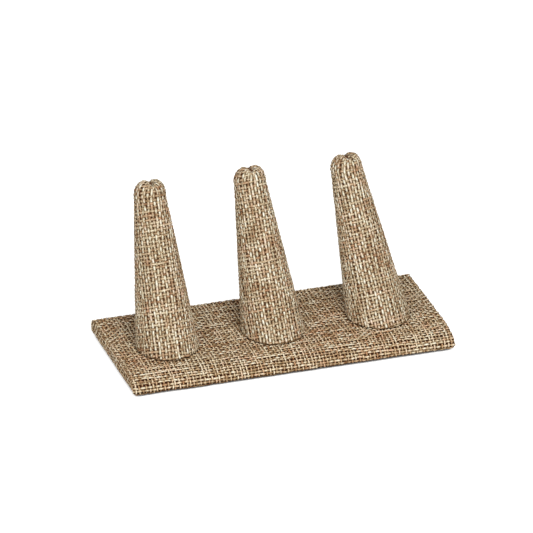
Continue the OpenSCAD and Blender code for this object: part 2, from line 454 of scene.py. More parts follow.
def runs(valid: np.ndarray, least: int = 4) -> Iterator[slice]:
    """Finds the unbroken stretches of a mask.

    Args:
        valid: The mask.
        least: Shortest stretch that counts.

    Yields:
        A slice for each stretch.
    """
    edges = np.flatnonzero(np.diff(np.concatenate([[0], valid.astype(int), [0]])))
    for start, stop in zip(edges[::2], edges[1::2]):
        if stop - start >= least:
            yield slice(start, stop)


def closed_sheet(name: str, outer: np.ndarray, inner: np.ndarray, ring: bool,
                 material: bpy.types.Material) -> bpy.types.Object:
    """Makes a thin closed sheet from two grids of points.

    Args:
        name: Name of the piece.
        outer: Grid of the outer side, rows by columns by 3, in millimetres.
        inner: Grid of the inner side.
        ring: True if the columns close into a ring.
        material: The piece's finish.

    Returns:
        The piece.
    """
    rows, columns = outer.shape[:2]
    one_side = rows * columns
    number = np.arange(one_side).reshape(rows, columns)
    faces = []
    for r in range(rows - 1):
        for c in range(columns if ring else columns - 1):
            a, b = number[r, c], number[r, (c + 1) % columns]
            d, e = number[r + 1, c], number[r + 1, (c + 1) % columns]
            faces.append((a, b, e, d))
            faces.append(tuple(one_side + k for k in (a, d, e, b)))
    rims = [number[0, :], number[-1, ::-1]]
    if not ring:
        rims = [np.concatenate([number[0, :], number[1:, -1], number[-1, -2::-1], number[-2:0:-1, 0]])]
    for rim in rims:
        for a, b in zip(rim, np.roll(rim, -1)):
            faces.append((b, a, one_side + a, one_side + b))
    points = np.concatenate([outer.reshape(-1, 3), inner.reshape(-1, 3)]) * MM
    mesh = bpy.data.meshes.new(name)
    mesh.from_pydata(points.tolist(), [], [list(map(int, face)) for face in faces])
    mesh.shade_smooth()
    mesh.materials.append(material)
    return new_piece(name, mesh)


@dataclass
class BoardWrap:
    """Cloth wrapped over the board: s runs from front to back, t from left to right.

    Attributes:
        weave: The cloth's sizes.
        nose_depth: Depth of the board's rounded front nose.
        back_radius: Radius of the board's upper back edge.
        under_radius: Radius of the lower edges at the board's ends.
        hem: Width of the cloth turned in under the board.
        bare_hem: Width of the hem with yarns, a little more than the card leaves bare.
        looseness: How far the cloth stands off the board's end edges.
        skew: Share by which the main yarns run forward on their way to the right.
        top_pitch: Distance between main yarns on the flat top, where the cloth is pulled less tight.
        nose_pull: Share by which the yarns are pulled thinner on the upper nose, so that it shows holes.
    """

    weave: Weave
    nose_depth: float = 15.0
    back_radius: float = 2.0
    under_radius: float = 1.5
    hem: float = 12.0
    bare_hem: float = 3.5
    looseness: float = 0.35
    skew: float = 0.008
    top_pitch: float = 1.6
    nose_pull: float = 0.2

    def __post_init__(self) -> None:
        """Takes the board's box from the frame and lays out its section."""
        low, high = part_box("base_board")
        self.end = high[0] / MM
        self.front, self.back = low[1] / MM, high[1] / MM
        self.bottom, self.top = low[2] / MM, high[2] / MM
        self.turn = QUARTER * self.weave.half
        self._lay_out()
        nose_rows = np.arange(-2, int(self.s_bend / self.weave.main_pitch) + 1) * self.weave.main_pitch
        top_rows = np.arange(nose_rows[-1] + self.top_pitch, self.s_end + 4 * self.top_pitch,
                             self.top_pitch)
        self.rows = np.concatenate([nose_rows, top_rows])

    def _lay_out(self) -> None:
        """Samples the board's section, from the front hem over the top to the back hem."""
        height, fine = self.top - self.bottom, 40
        angles = np.linspace(0, QUARTER, fine)
        sines, cosines = np.sin(angles), np.cos(angles)
        still, level = np.zeros(fine), np.ones(fine)
        front_hem = np.linspace(self.hem, 0, fine)
        top = np.linspace(self.front + self.nose_depth, self.back - self.back_radius, 3 * fine)
        wall = np.linspace(self.top - self.back_radius, self.bottom, fine)
        nose = unit(np.stack([-cosines / self.nose_depth, sines / height], axis=-1))
        # Each stretch holds the Y and Z of its points, and of their outward directions
        stretches = [
            (self.front + front_hem, self.bottom * level, still, -level),
            (self.front * level, self.bottom * level, -sines, -cosines),
            (self.front + self.nose_depth * (1 - cosines), self.bottom + height * sines,
             nose[:, 0], nose[:, 1]),
            (top, np.full(len(top), self.top), np.zeros(len(top)), np.ones(len(top))),
            (self.back - self.back_radius * (1 - sines), self.top - self.back_radius * (1 - cosines),
             sines, cosines),
            (self.back * level, wall, level, still),
            (self.back * level, self.bottom * level, cosines, -sines),
            (self.back - front_hem[::-1], self.bottom * level, still, -level),
        ]
        self.spot = np.concatenate([np.stack(part[:2], axis=1) for part in stretches])
        self.out = unit(np.concatenate([np.stack(part[2:], axis=1) for part in stretches]))
        middle = self.spot + self.weave.half * self.out
        lengths = np.linalg.norm(np.diff(middle, axis=0), axis=1)
        self.s = np.concatenate([[0.0], np.cumsum(lengths)])
        last = np.cumsum([len(part[0]) for part in stretches]) - 1
        self.s_nose, self.s_bend, self.s_wall, self.s_under, self.s_end = self.s[last[[1, 2, 4, 5, 7]]]

    def section(self, s: np.ndarray) -> tuple[np.ndarray, np.ndarray]:
        """Finds the board's surface at distance s.

        Args:
            s: Distances along the section.

        Returns:
            Points and outward directions, each with Y and Z.
        """
        spot = np.stack([np.interp(s, self.s, self.spot[:, k]) for k in (0, 1)], axis=-1)
        out = np.stack([np.interp(s, self.s, self.out[:, k]) for k in (0, 1)], axis=-1)
        return spot, unit(out)

    def drop_below(self, height: np.ndarray) -> tuple[np.ndarray, np.ndarray, np.ndarray]:
        """Splits the way down over the board's end from a given height.

        Args:
            height: Heights of the board's surface.

        Returns:
            Length of the upright part, radius of the lower edge, and length of the cloth's turn
            round that edge.
        """
        rise = height - self.bottom
        radius = np.clip(rise, 0, self.under_radius)
        return rise - radius, radius, QUARTER * (self.weave.half + radius)

    def reach(self, s: np.ndarray, hem: float) -> np.ndarray:
        """Finds how far the cloth goes to each side at distance s.

        Args:
            s: Distances along the section.
            hem: Width of the hem.

        Returns:
            The largest t at each s.
        """
        spot, _ = self.section(s)
        edge = np.minimum(spot[..., 0] - self.front, self.back - spot[..., 0])
        wall, _, under_turn = self.drop_below(spot[..., 1])
        over_end = self.end + self.turn + wall + under_turn + np.clip(edge, 0.0, hem)
        beside = (s >= self.s_nose) & (s <= self.s_wall)
        on_wall = (s > self.s_wall) & (s < self.s_under)
        return np.where(beside, over_end, np.where(on_wall, self.end + self.turn, self.end - edge))

    def flat_size(self) -> tuple[float, float]:
        """Width and length of the cut cloth, in metres."""
        return 2 * float(self.reach(self.s, self.hem).max()) * MM, float(self.s_end) * MM

    def place(self, s: np.ndarray, t: np.ndarray) -> tuple[np.ndarray, np.ndarray]:
        """Maps flat cloth to the middle of the wrapped cloth.

        Args:
            s: Distances from front to back.
            t: Distances from the middle to the right.

        Returns:
            Points and outward directions.
        """
        s, t = np.broadcast_arrays(np.asarray(s, float), np.asarray(t, float))
        spot, out = self.section(s)
        side = np.where(t < 0, -1.0, 1.0)
        past = np.abs(t) - self.end
        # Past the board's end the cloth turns down, runs down the wall, turns in and runs inward
        over = np.clip(past / self.turn, 0, 1) * QUARTER
        room, radius, under_turn = self.drop_below(spot[..., 1])
        room = np.where(s <= self.s_wall, room, 0.0)
        under = np.clip((past - self.turn - room) / under_turn, 0, 1) * QUARTER
        drop = np.clip(past - self.turn, 0, room) + radius * np.sin(under)
        inward = np.clip(past - self.turn - room - under_turn, 0, None) + radius * (1 - np.cos(under))
        outward = np.stack([side, 0 * side, 0 * side], axis=-1)
        lift = np.concatenate([0 * side[..., None], out], axis=-1)
        lift = lift * np.cos(over)[..., None] + outward * np.sin(over)[..., None]
        lift = np.where((under > 0)[..., None],
                        outward * np.cos(under)[..., None] - UP * np.sin(under)[..., None], lift)
        core = np.stack([np.where(past > 0, side * (self.end - inward), t),
                         spot[..., 0], spot[..., 1] - drop], axis=-1)
        loose = self.looseness * np.sin(2 * over)
        return core + (self.weave.half + loose)[..., None] * lift, lift

    def guides(self, yarns: YarnSet, seed: int) -> YarnGuides:
        """Lays one set of yarns on the board. Main yarns run from left to right.

        Args:
            yarns: Which set.
            seed: Seed of the yarns' drift.

        Returns:
            The centre lines.
        """
        rng = np.random.default_rng(seed)
        found = YarnGuides(self.weave, yarns)
        across, step = self.weave.cross_pitch, self.weave.step(yarns)
        half = self.end + self.top + self.hem
        if yarns is YarnSet.MAIN:
            for i, row in enumerate(self.rows):
                t = np.arange(-half, half, step)
                s = row + wander(rng, len(t), self.weave.wander) - self.skew * t
                self._lay(found, s, t, np.cos(math.pi * (t / across + i)), rng)
        else:
            count = int(half / across)
            for j in range(-count, count + 1):
                s = np.arange(0.0, self.s_end, step)
                t = j * across + wander(rng, len(s), self.weave.wander)
                row = np.interp(s + self.skew * t, self.rows, np.arange(len(self.rows)))
                self._lay(found, s, t, -np.cos(math.pi * (row + j)), rng)
        return found

    def _lay(self, found: YarnGuides, s: np.ndarray, t: np.ndarray, wave: np.ndarray,
             rng: np.random.Generator) -> None:
        """Adds the stretches of one yarn that lie on the cloth.

        Args:
            found: The centre lines so far.
            s: Places of the yarn's points from front to back.
            t: Places of the yarn's points from left to right.
            wave: Height of the yarn in the weave.
            rng: Source of the yarn's shade, thickness and unevenness.
        """
        tone, gauge = rng.random(), rng.normal(1.0, self.weave.spread)
        wave = uneven(rng, wave, self.weave.stray)
        hidden = self.hem - self.bare_hem
        bare = (s >= hidden) & (s <= self.s_end - hidden)
        middle, spread = (self.s_nose + 2 * self.s_bend) / 3, (self.s_bend - self.s_nose) / 3
        pulled = gauge * (1 - self.nose_pull * np.exp(-((s - middle) / spread) ** 2))
        for part in runs(bare & (np.abs(t) <= self.reach(s, self.bare_hem))):
            place, lift = self.place(s[part], t[part])
            found.add(place, lift, wave[part], pulled[part], tone)

    def ground(self, material: bpy.types.Material) -> bpy.types.Object:
        """Makes the thin closed sheet under the yarns, dark with painted shade for the gaps between them.

        Args:
            material: Its finish.

        Returns:
            The piece.
        """
        # Rows of the front hem, of the nose and top, and of the back; columns closer at the ends
        s = np.concatenate([np.linspace(0, self.s_nose, 8)[:-1],
                            np.linspace(self.s_nose, self.s_wall, 60),
                            np.linspace(self.s_wall, self.s_end, 14)[1:]])
        share = np.concatenate([np.linspace(-1, -0.9, 24), np.linspace(-0.88, 0.88, 30),
                                np.linspace(0.9, 1, 24)])
        t = self.reach(s, self.hem)[:, None] * share[None, :]
        place, lift = self.place(s[:, None], t)
        outer, inner = (place - depth * self.weave.thickness * lift for depth in self.weave.ground)
        return closed_sheet("base_cover_ground", outer, inner, False, material)


@dataclass(frozen=True)
class Dent:
    """A dent in a folded tip.

    Attributes:
        way: Direction of its middle from the tip's centre.
        depth: Its depth, less than zero for a bump.
        radius: Its radius.
    """

    way: tuple[float, float, float]
    depth: float
    radius: float


def radial(theta: np.ndarray) -> np.ndarray:
    """Directions away from a finger's axis, at angles round it from its front."""
    return np.stack([np.sin(theta), -np.cos(theta), 0 * theta], axis=-1)


@dataclass
class FingerSleeve:
    """Cloth sleeve of one finger. The flat cloth is the finger's cone rolled out, and its main
    yarns run down the front of the finger.

    Attributes:
        weave: The cloth's sizes.
        name: Name of the finger.
        foot_x: Place of the foot from left to right.
        lean_side: Angle that the finger leans to the right, in degrees.
        foot_y: Place of the foot from front to back.
        lean_back: Angle that the finger leans back, in degrees.
        foot_radius: Radius of the covered finger at its foot.
        tip_radius: Radius of its round tip.
        length: Length along its axis, without the fold at its tip.
        cleft_x: Place of the cleft in the tip, from the axis to the right.
        cleft_depth: Depth of the cleft below the folded cloth beside it.
        cleft_width: Width of the cleft.
        cleft_edge: How steep the sides of the cleft are.
        cleft_start: Height on the tip, from 0 to 1, at which the cleft starts.
        cleft_run: How much further up it reaches its full depth.
        fold: How much the folded cloth thickens the tip.
        shoulder: How much further the right half of the fold stands out.
        shoulder_angle: Angle from the top of the tip to the middle of that half, in degrees.
        shoulder_spread: Angle over which that half fades, in degrees.
        seam_start: Height angle at which the cleft's seam starts, in degrees.
        seam_turn: Share of the way to the seam at which the yarns start to sink in.
        seam_sink: How far they sink in at the seam.
        crowding: Share by which the main yarns thin where they crowd at the seam.
        tuck: How far the cloth turns in under the foot.
        ground_gap: Height of the ground sheet's lower edge above the base.
        dents: Dents in the folded tip.
    """

    weave: Weave
    name: str
    foot_x: float
    lean_side: float
    foot_y: float = -3.9
    lean_back: float = 18.0
    foot_radius: float = 14.3
    tip_radius: float = 7.4
    length: float = 74.8
    cleft_x: float = 0.6
    cleft_depth: float = 2.3
    cleft_width: float = 2.6
    cleft_edge: float = 1.3
    cleft_start: float = 0.62
    cleft_run: float = 0.3
    fold: float = 0.95
    shoulder: float = 0.65
    shoulder_angle: float = 42.0
    shoulder_spread: float = 24.0
    seam_start: float = 60.0
    seam_turn: float = 0.93
    seam_sink: float = 0.9
    crowding: float = 0.45
    tuck: float = 1.6
    ground_gap: float = 0.1
    dents: tuple[Dent, ...] = ()

    def __post_init__(self) -> None:
        """Works out the cone and the finger's own frame."""
        self.centre = self.length - self.tip_radius
        reach = math.hypot(self.foot_radius, self.centre)
        self.angle = math.acos(self.tip_radius / reach) - math.atan2(self.centre, self.foot_radius)
        self.sine, self.cosine = math.sin(self.angle), math.cos(self.angle)
        self.radius = self.tip_radius - self.weave.half
        self.l_ring = self.radius * self.cosine / self.sine
        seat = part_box("base_cover")[1][2] / MM
        self.foot = np.array([self.foot_x, self.foot_y, seat])
        self.turn = np.array(Matrix.Rotation(math.radians(-self.lean_back), 3, "X")
                             @ Matrix.Rotation(math.radians(self.lean_side), 3, "Y"))

    def world(self, local: np.ndarray) -> np.ndarray:
        """Takes points from the finger's own frame to the stand's."""
        return local @ self.turn.T + self.foot

    def height(self, local: np.ndarray) -> np.ndarray:
        """Height of points of the finger's own frame above the base."""
        return local @ self.turn[2]

    def dome(self, theta: np.ndarray, past: np.ndarray) -> tuple[np.ndarray, np.ndarray]:
        """Finds directions over the tip, from the end of the cone to the cleft's seam.

        Args:
            theta: Angle round the finger from its front, in radians.
            past: Distance past the end of the cone.

        Returns:
            Unit directions from the tip's centre, and the share of the way to the seam.
        """
        start = radial(theta) * self.cosine + UP * self.sine
        aside, first = self.cleft_x / self.radius, math.radians(self.seam_start)
        psi = first + (math.pi - 2 * first) * np.abs(theta) / math.pi
        across = math.sqrt(1 - aside * aside)
        end = np.stack([np.full_like(theta, aside), -across * np.cos(psi), across * np.sin(psi)], axis=-1)
        whole = np.arccos(np.clip((start * end).sum(-1), -1, 1))
        share = past / (self.radius * whole)
        gone = np.clip(share, 0, 1) * whole
        return unit(np.sin(whole - gone)[..., None] * start + np.sin(gone)[..., None] * end), share

    def swell(self, ways: np.ndarray) -> np.ndarray:
        """Finds how far the folded tip stands out from a plain round one.

        Args:
            ways: Unit directions from the tip's centre.

        Returns:
            The height of the fold in each direction.
        """
        rise = np.clip(ways[..., 2], 0, 1)
        right = np.degrees(np.arctan2(ways[..., 0], np.maximum(ways[..., 2], 0.01)))
        shoulder = np.exp(-((right - self.shoulder_angle) / self.shoulder_spread) ** 2)
        aside = np.abs(self.tip_radius * ways[..., 0] - self.cleft_x)
        cleft = np.exp(-(aside / (self.cleft_width / 2)) ** self.cleft_edge)
        high = np.clip((rise - self.cleft_start) / self.cleft_run, 0, 1)
        height = self.fold * rise + self.shoulder * rise ** 0.5 * shoulder
        height = height - self.cleft_depth * cleft * high * high * (3 - 2 * high)
        for dent in self.dents:
            away = self.tip_radius * np.linalg.norm(ways - unit(np.array(dent.way)), axis=-1)
            height = height - dent.depth * np.exp(-(away / dent.radius) ** 2)
        return height

    def place(self, across: np.ndarray, down: np.ndarray) -> tuple[np.ndarray, np.ndarray, np.ndarray]:
        """Maps flat cloth to the middle of the sleeve's cloth.

        Args:
            across: Distances from the front line to the right, on the flat cloth.
            down: Distances from the cone's point, on the flat cloth.

        Returns:
            Points in the finger's own frame, outward directions, and the share of the way over the
            tip to its seam.
        """
        slant = np.hypot(across, down)
        theta = np.arctan2(across, down) / self.sine
        outward = radial(theta)
        z = self.centre + self.radius * self.sine - (slant - self.l_ring) * self.cosine
        cone = outward * (slant * self.sine)[..., None] + UP * z[..., None]
        cone_out = outward * self.cosine + UP * self.sine
        ways, share = self.dome(theta, np.maximum(self.l_ring - slant, 0))
        sink = self.seam_sink * np.clip((share - self.seam_turn) / (1 - self.seam_turn), 0, 1)
        round_tip = ways * (self.radius + self.swell(ways) - sink)[..., None] + UP * self.centre
        on_tip = slant < self.l_ring
        point = np.where(on_tip[..., None], round_tip, cone)
        return point, np.where(on_tip[..., None], ways, cone_out), np.where(on_tip, share, 0.0)

    def guides(self, yarns: YarnSet, seed: int) -> YarnGuides:
        """Lays one set of yarns on the sleeve. Main yarns run down it.

        Args:
            yarns: Which set.
            seed: Seed of the yarns' drift.

        Returns:
            The centre lines.
        """
        rng = np.random.default_rng(seed)
        found = YarnGuides(self.weave, yarns)
        aside, apart, step = self.weave.main_pitch, self.weave.cross_pitch, self.weave.step(yarns)
        # The flat cloth is larger than the sleeve on all sides, and _lay keeps what lies on the finger
        top = self.l_ring - 2 * self.radius
        bottom = self.l_ring + self.length + 2 * self.foot_radius
        widest = bottom * math.sin(math.pi * self.sine)
        if yarns is YarnSet.MAIN:
            columns = math.ceil(widest / aside)
            for i in range(-columns, columns + 1):
                down = np.arange(int(top / step), int(bottom / step)) * step
                across = i * aside + wander(rng, len(down), self.weave.wander)
                self._lay(found, across, down, np.cos(math.pi * (down / apart + i)), rng)
        else:
            for j in range(int(top / apart), math.ceil(bottom / apart) + 1):
                across = np.arange(-int(widest / step), int(widest / step) + 1) * step
                down = j * apart + wander(rng, len(across), self.weave.wander)
                self._lay(found, across, down, -np.cos(math.pi * (across / aside + j)), rng)
        return found

    def _lay(self, found: YarnGuides, across: np.ndarray, down: np.ndarray, wave: np.ndarray,
             rng: np.random.Generator) -> None:
        """Adds the stretches of one yarn that lie on the sleeve.

        Args:
            found: The centre lines so far.
            across: Places of the yarn's points across the flat cloth.
            down: Places of the yarn's points down the flat cloth.
            wave: Height of the yarn in the weave.
            rng: Source of the yarn's shade, thickness and unevenness.
        """
        tone, thick = rng.random(), rng.normal(1.0, self.weave.spread)
        wave = uneven(rng, wave, self.weave.stray)
        local, lift, share = self.place(across, down)
        theta = np.arctan2(across, down) / self.sine
        above = self.height(local) - self.weave.half
        crowding = self.crowding if found.yarns is YarnSet.MAIN else 0.0
        gauge = thick * (1 - crowding * np.clip(share, 0, 1) ** 2)
        for part in runs((np.abs(theta) <= math.pi) & (share < 1) & (above > -self.tuck)):
            place, out = self._tucked(local[part], lift[part], np.clip(-above[part], 0, None))
            found.add(self.world(place), out @ self.turn.T, wave[part], gauge[part], tone)

    def _tucked(self, place: np.ndarray, out: np.ndarray,
                deep: np.ndarray) -> tuple[np.ndarray, np.ndarray]:
        """Turns what would reach into the base in under the foot.

        Args:
            place: Points in the finger's own frame.
            out: Outward directions.
            deep: Depth of each point below the middle of the hem.

        Returns:
            The moved points and their directions.
        """
        down = -self.turn[2]
        level = unit(out - (out @ down)[:, None] * down)
        moved = place - (down + level) * deep[:, None]
        share = np.clip(deep / self.weave.half, 0, 1)[:, None]
        return moved, unit(out * (1 - share) + down * share)

    def flat_size(self) -> tuple[float, float]:
        """Works out the rectangle that the sleeve was cut from.

        Returns:
            Its width and length, in metres.
        """
        bottom = self.l_ring + self.length - self.tip_radius + self.tuck
        width = 2 * bottom * math.sin(math.pi * self.sine)
        return width * MM, (self.length + QUARTER * self.tip_radius) * MM

    def ground(self, material: bpy.types.Material) -> bpy.types.Object:
        """Makes the thin closed sheet under the yarns, dark with painted shade for the gaps between them.

        Args:
            material: Its finish.

        Returns:
            The piece.
        """
        outer, inner = (self._ground_side(self.radius - depth * self.weave.thickness)
                        for depth in self.weave.ground)
        return closed_sheet(f"finger_cover_{self.name}_ground", outer, inner, True, material)

    def _ground_side(self, radius: float) -> np.ndarray:
        """Lays one side of the ground sheet over the cone and the tip.

        Args:
            radius: The side's radius at the tip.

        Returns:
            Its rings of points, from the foot to the top.
        """
        outward = radial(np.linspace(-math.pi, math.pi, 97)[:-1])
        top = outward * radius * self.cosine + UP * (self.centre + radius * self.sine)
        slope = outward * self.sine - UP * self.cosine
        length = (self.ground_gap - self.height(top)) / self.height(slope)
        rings = [top + slope * (length * (1 - share))[:, None] for share in np.linspace(0, 1, 12)]
        # The last ring stays open, so that its columns keep apart
        for angle in np.linspace(self.angle, QUARTER - 0.02, 14)[1:]:
            ways = outward * math.cos(angle) + UP * math.sin(angle)
            rings.append(ways * (radius + np.maximum(self.swell(ways), 0))[:, None] + UP * self.centre)
        return self.world(np.array(rings))


def rgba(color: Sequence[float]) -> tuple[float, float, float, float]:
    """Turns an sRGB colour, from 0 to 255, into the linear one with full alpha that sockets take."""
    linear = [(c / 255 / 12.92) if c <= 10.3 else ((c / 255 + 0.055) / 1.055) ** 2.4 for c in color]
    return (*linear, 1.0)


def new_material(name: str, roughness: float) -> tuple[bpy.types.Material, NodeTree, bpy.types.Node]:
    """Starts a material.

    Args:
        name: Its name.
        roughness: Its roughness.

    Returns:
        The material, its tree and its main shader.
    """
    material = bpy.data.materials.new(name)
    material.use_nodes = True
    shader = material.node_tree.nodes["Principled BSDF"]
    shader.inputs["Roughness"].default_value = roughness
    return material, NodeTree(material.node_tree), shader


def new_group(name: str, inputs: dict[str, str], outputs: dict[str, str]) -> NodeTree:
    """Starts a group of shader nodes.

    Args:
        name: Its name.
        inputs: Kind of each input, such as Float or Color, by the input's name.
        outputs: The same for the outputs.

    Returns:
        The group's tree.
    """
    tree = bpy.data.node_groups.new(name, "ShaderNodeTree")
    for side, sockets in (("INPUT", inputs), ("OUTPUT", outputs)):
        for key, kind in sockets.items():
            tree.interface.new_socket(key, in_out=side, socket_type=f"NodeSocket{kind}")
    return NodeTree(tree)


@dataclass(frozen=True)
class PaintedCreviceShade:
    """Group that paints shade into creases and gaps between yarns, from how open each place is.

    Attributes:
        reach: Distance from which neighbours paint shade on a place, in millimetres.
        levels: Open shares at which the painted shade on a place is full and gone.
    """

    reach: float = 1.2
    levels: tuple[float, float] = (0.05, 0.7)

    def build(self) -> bpy.types.NodeTree:
        """Builds the group.

        Returns:
            The group.
        """
        nodes = new_group("painted_crevice_shade", {}, {"Open": "Float"})
        near = nodes.add("ShaderNodeAmbientOcclusion", {"Distance": self.reach * MM}, samples=4)
        nodes.add("NodeGroupOutput", {"Open": nodes.fit(near.outputs["AO"], *self.levels)})
        return nodes.tree


@dataclass
class Heather:
    """Group that all yarns share: streaks, twisted fibres, a warm blush and painted shade in the creases.

    Attributes:
        apart: Distance between two yarns' places in the noises.
        streaks: Streaks along a yarn, to a millimetre.
        twist: Turn of the fibres round the yarn, in radians to a millimetre.
        fibres: Marks along a fibre, to a millimetre.
        fibre_contrast: How much the fibres differ in tone.
        patches: Patches of a paler or darker tone, to a metre.
        patch_contrast: How much the patches differ in tone.
        tones: Levels at which the dark, the body and the light colour show.
        blushes: Warm stretches along a yarn, to a millimetre.
        blots: Blots in which the warm stretches gather, to a metre.
        blot_share: Weight of the blots.
        blush_levels: Levels at which the blush starts and is full.
        blush_share: Strength of the full blush.
        plain: Tint outside the blush.
        blush: Tint of the blush.
        flank_top: Height on the yarn's section, from -1 to 1, from which it is bright, free of painted shade.
        flank_shade: Brightness of the painted shade on the darkest flank.
        wave_levels: Heights in the weave at which the painted shade of a diving yarn is darkest and gone.
        foot_levels: Heights above the floor at which the cloth's painted contact shade is darkest and gone,
            in millimetres.
        foot_shade: Brightness of the painted contact shade at the floor.
        powers: How fast red, green and blue darken with the painted shade.
    """

    apart: float = 517.0
    streaks: float = 0.6
    twist: float = 0.7
    fibres: float = 0.35
    fibre_contrast: float = 1.1
    patches: float = 150.0
    patch_contrast: float = 0.44
    tones: tuple[float, float, float] = (0.25, 0.5, 0.75)
    blushes: float = 0.24
    blots: float = 70.0
    blot_share: float = 0.3
    blush_levels: tuple[float, float] = (0.61, 0.86)
    blush_share: float = 0.75
    plain: tuple[float, float, float] = (255, 253, 254)
    blush: tuple[float, float, float] = (228, 180, 158)
    flank_top: float = 0.9
    flank_shade: float = 0.36
    wave_levels: tuple[float, float] = (-0.4, 0.9)
    foot_levels: tuple[float, float] = (0.8, 2.6)
    foot_shade: float = 0.5
    powers: tuple[float, float, float] = (0.9, 1.15, 1.45)

    def __post_init__(self) -> None:
        """Starts the group with its inputs, the yarn's place in the noises and that on the stand."""
        numbers = dict.fromkeys(("Along", "Tone", "Wave", "Dip", "Lightness", "Flank", "Own"), "Float")
        colors = dict.fromkeys(("Dark", "Body", "Light"), "Color")
        self.nodes = new_group("heather", {"Round": "Vector", **numbers, **colors},
                               {"Color": "Color", "Height": "Float"})
        self.given = self.nodes.add("NodeGroupInput").outputs
        self.row = self.nodes.math("MULTIPLY", self.given["Tone"], self.apart)
        self.spot = self.nodes.add("ShaderNodeTexCoord").outputs["Object"]

    def build(self) -> bpy.types.NodeTree:
        """Builds the group.

        Returns:
            The group.
        """
        nodes, given = self.nodes, self.given
        fibre = self._fibre()
        level = self._level(fibre)
        low, high = (nodes.fit(level, *pair) for pair in zip(self.tones, self.tones[1:]))
        color = nodes.mix(high, nodes.mix(low, given["Dark"], given["Body"]), given["Light"])
        for factor in (self._tint(), self._painted_shade()):
            color = nodes.mix(1.0, color, factor, "MULTIPLY")
        nodes.add("NodeGroupOutput", {"Color": color, "Height": fibre})
        return nodes.tree

    def _along(self, times: float) -> Socket:
        """Multiplies the distance along the yarn, in millimetres, by a number."""
        return self.nodes.math("MULTIPLY", self.given["Along"], times)

    def _fibre(self) -> Socket:
        """Draws the fibres that twist round a yarn.

        Returns:
            The height of the fibres, from 0 to 1.
        """
        inputs = {"Vector": self.given["Round"], "Angle": self._along(self.twist)}
        twisted = self.nodes.add("ShaderNodeVectorRotate", inputs, rotation_type="Z_AXIS").outputs[0]
        drawn = self.nodes.vector(z=self._along(self.fibres))
        place = self.nodes.add("ShaderNodeVectorMath", {0: twisted, 1: drawn}, operation="ADD").outputs[0]
        return self.nodes.noise(place, 1.5, 3.0)

    def _level(self, fibre: Socket) -> Socket:
        """Adds up how pale each place of a yarn is.

        Args:
            fibre: The height of the fibres.

        Returns:
            The level, from about 0 for dark to 1 for pale.
        """
        nodes, given = self.nodes, self.given
        streak = nodes.noise(nodes.vector(self._along(self.streaks), self.row), 1.0, 3.0, 0.6)
        patch = nodes.noise(self.spot, self.patches, 2.0)
        own = nodes.add("ShaderNodeTexWhiteNoise", {"W": self.row}, noise_dimensions="1D").outputs["Value"]
        level = nodes.math("ADD", streak, given["Lightness"])
        contrasts = ((patch, self.patch_contrast), (own, given["Own"]), (fibre, self.fibre_contrast))
        for value, contrast in contrasts:
            level = nodes.math("MULTIPLY_ADD", nodes.math("SUBTRACT", value, 0.5), contrast, level)
        return level

    def _tint(self) -> Socket:
        """Makes the tint of the warm stretches.

        Returns:
            The tint, as a colour to multiply with.
        """
        nodes = self.nodes
        warm = nodes.noise(nodes.vector(self._along(self.blushes), z=self.row), 1.0, 2.0)
        level = nodes.math("MULTIPLY_ADD", nodes.noise(self.spot, self.blots, 1.0), self.blot_share, warm)
        share = nodes.fit(level, *self.blush_levels, end=self.blush_share)
        return nodes.mix(share, rgba(self.plain), rgba(self.blush))

    def _painted_shade(self) -> Socket:
        """Makes the painted shade of the flanks, the dives, the creases and the foot of the cloth.

        Returns:
            The shade, as a colour to multiply with.
        """
        nodes, given = self.nodes, self.given
        foot_dark, foot_bright = (level * MM for level in self.foot_levels)
        bright = nodes.add("ShaderNodeGroup", node_tree=PaintedCreviceShade().build()).outputs[0]
        # Shade painted into the colour: ambient occlusion in creases, times the flank, dive and foot masks.
        for factor in (
            nodes.fit(nodes.part(given["Round"], 0), given["Flank"], self.flank_top, self.flank_shade),
            nodes.fit(given["Wave"], *self.wave_levels, nodes.math("SUBTRACT", 1.0, given["Dip"])),
            nodes.fit(nodes.part(self.spot, 2), foot_dark, foot_bright, self.foot_shade),
        ):
            bright = nodes.math("MULTIPLY", bright, factor)
        channels = {k: nodes.math("POWER", bright, power) for k, power in enumerate(self.powers)}
        return nodes.add("ShaderNodeCombineColor", channels).outputs[0]


@dataclass(frozen=True)
class YarnFinish:
    """Heathered burlap yarn.

    Attributes:
        name: Name of the finish.
        dark: Colour of the darkest fibres.
        body: Colour of most fibres.
        light: Colour of the palest fibres.
        lightness: Share by which the whole yarn is paler.
        dip: How much painted shade darkens the yarn where it dives under its neighbours.
        flank: Height on the yarn's section, from -1 to 1, at which the painted shade on its flank is darkest.
        own: How much the yarns differ in shade from one to the next.
        roughness: Roughness of the fibres.
        relief: Depth of the fibres, in millimetres.
        specular: Strength of the shine.
    """

    name: str
    dark: tuple[float, float, float]
    body: tuple[float, float, float]
    light: tuple[float, float, float]
    lightness: float = 0.0
    dip: float = 0.4
    flank: float = -0.1
    own: float = 0.18
    roughness: float = 0.85
    relief: float = 0.15
    specular: float = 0.1

    def material(self) -> bpy.types.Material:
        """Builds the material.

        Returns:
            The material.
        """
        material, nodes, shader = new_material(self.name, self.roughness)
        inputs = {"Dip": self.dip, "Flank": self.flank, "Own": self.own, "Lightness": self.lightness,
                  "Dark": rgba(self.dark), "Body": rgba(self.body), "Light": rgba(self.light)}
        for name, output in (("along", "Fac"), ("tone", "Fac"), ("wave", "Fac"), ("round", "Vector")):
            read = nodes.add("ShaderNodeAttribute", attribute_name=name)
            inputs[name.title()] = read.outputs[output]
        group = bpy.data.node_groups.get("heather") or Heather().build()
        heather = nodes.add("ShaderNodeGroup", inputs, node_tree=group).outputs
        nodes.feed(shader, {"Base Color": heather["Color"],
                            "Normal": nodes.bump(heather["Height"], 0.5, self.relief),
                            "Specular IOR Level": self.specular})
        return material


